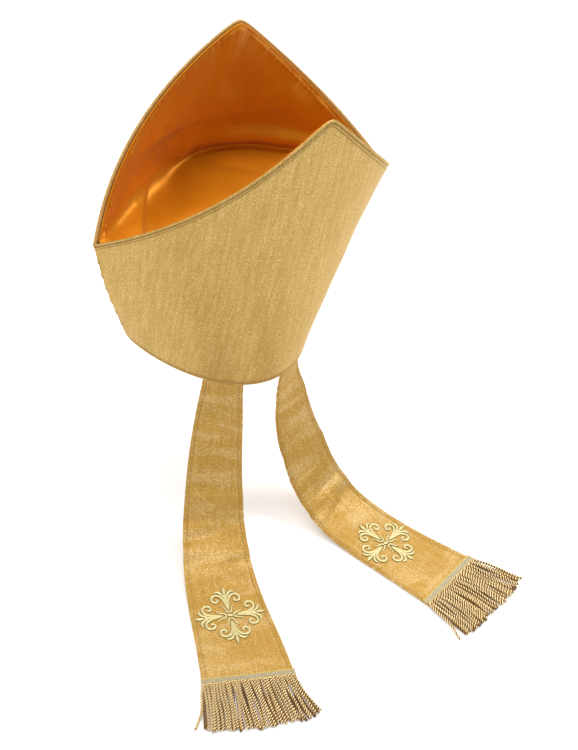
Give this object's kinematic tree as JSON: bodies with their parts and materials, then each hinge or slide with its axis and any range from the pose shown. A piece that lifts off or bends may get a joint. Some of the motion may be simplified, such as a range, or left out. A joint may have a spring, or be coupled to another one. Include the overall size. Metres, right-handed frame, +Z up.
{
  "type": "bishop mitre",
  "caption": "Tall folded ceremonial hat with stiff front and back shields, a soft lining between them, and fringed lappets that fall from the back of its rim.",
  "frame": {"origin": "middle of the rim's opening, where the head goes in", "axes": "+Z up with the hat as worn, -Y the way the wearer faces, +Y the side where the lappets hang, +X the wearer's left"},
  "size_m": [0.3839, 0.4552, 0.4966],
  "materials": {
    "shield_cloth": "crinkled gold lame with fine upright threads and a soft metallic glint",
    "lining_satin": "orange-brown satin with a soft sheen",
    "lappet_cloth": "ochre gold lame with tiny glittering flecks",
    "cross_thread": "raised satin stitch in pale gold thread",
    "fringe_thread": "twisted bullion cords in brown, gold and cream"
  },
  "bodies": {
    "root": {"front_shield": "shield_cloth", "back_shield": "shield_cloth", "lining_gusset": "lining_satin", "lappet_left": "lappet_cloth", "lappet_right": "lappet_cloth", "cross_left": "cross_thread", "cross_right": "cross_thread", "fringe_left": "fringe_thread", "fringe_right": "fringe_thread"}
  },
  "joints": []
}
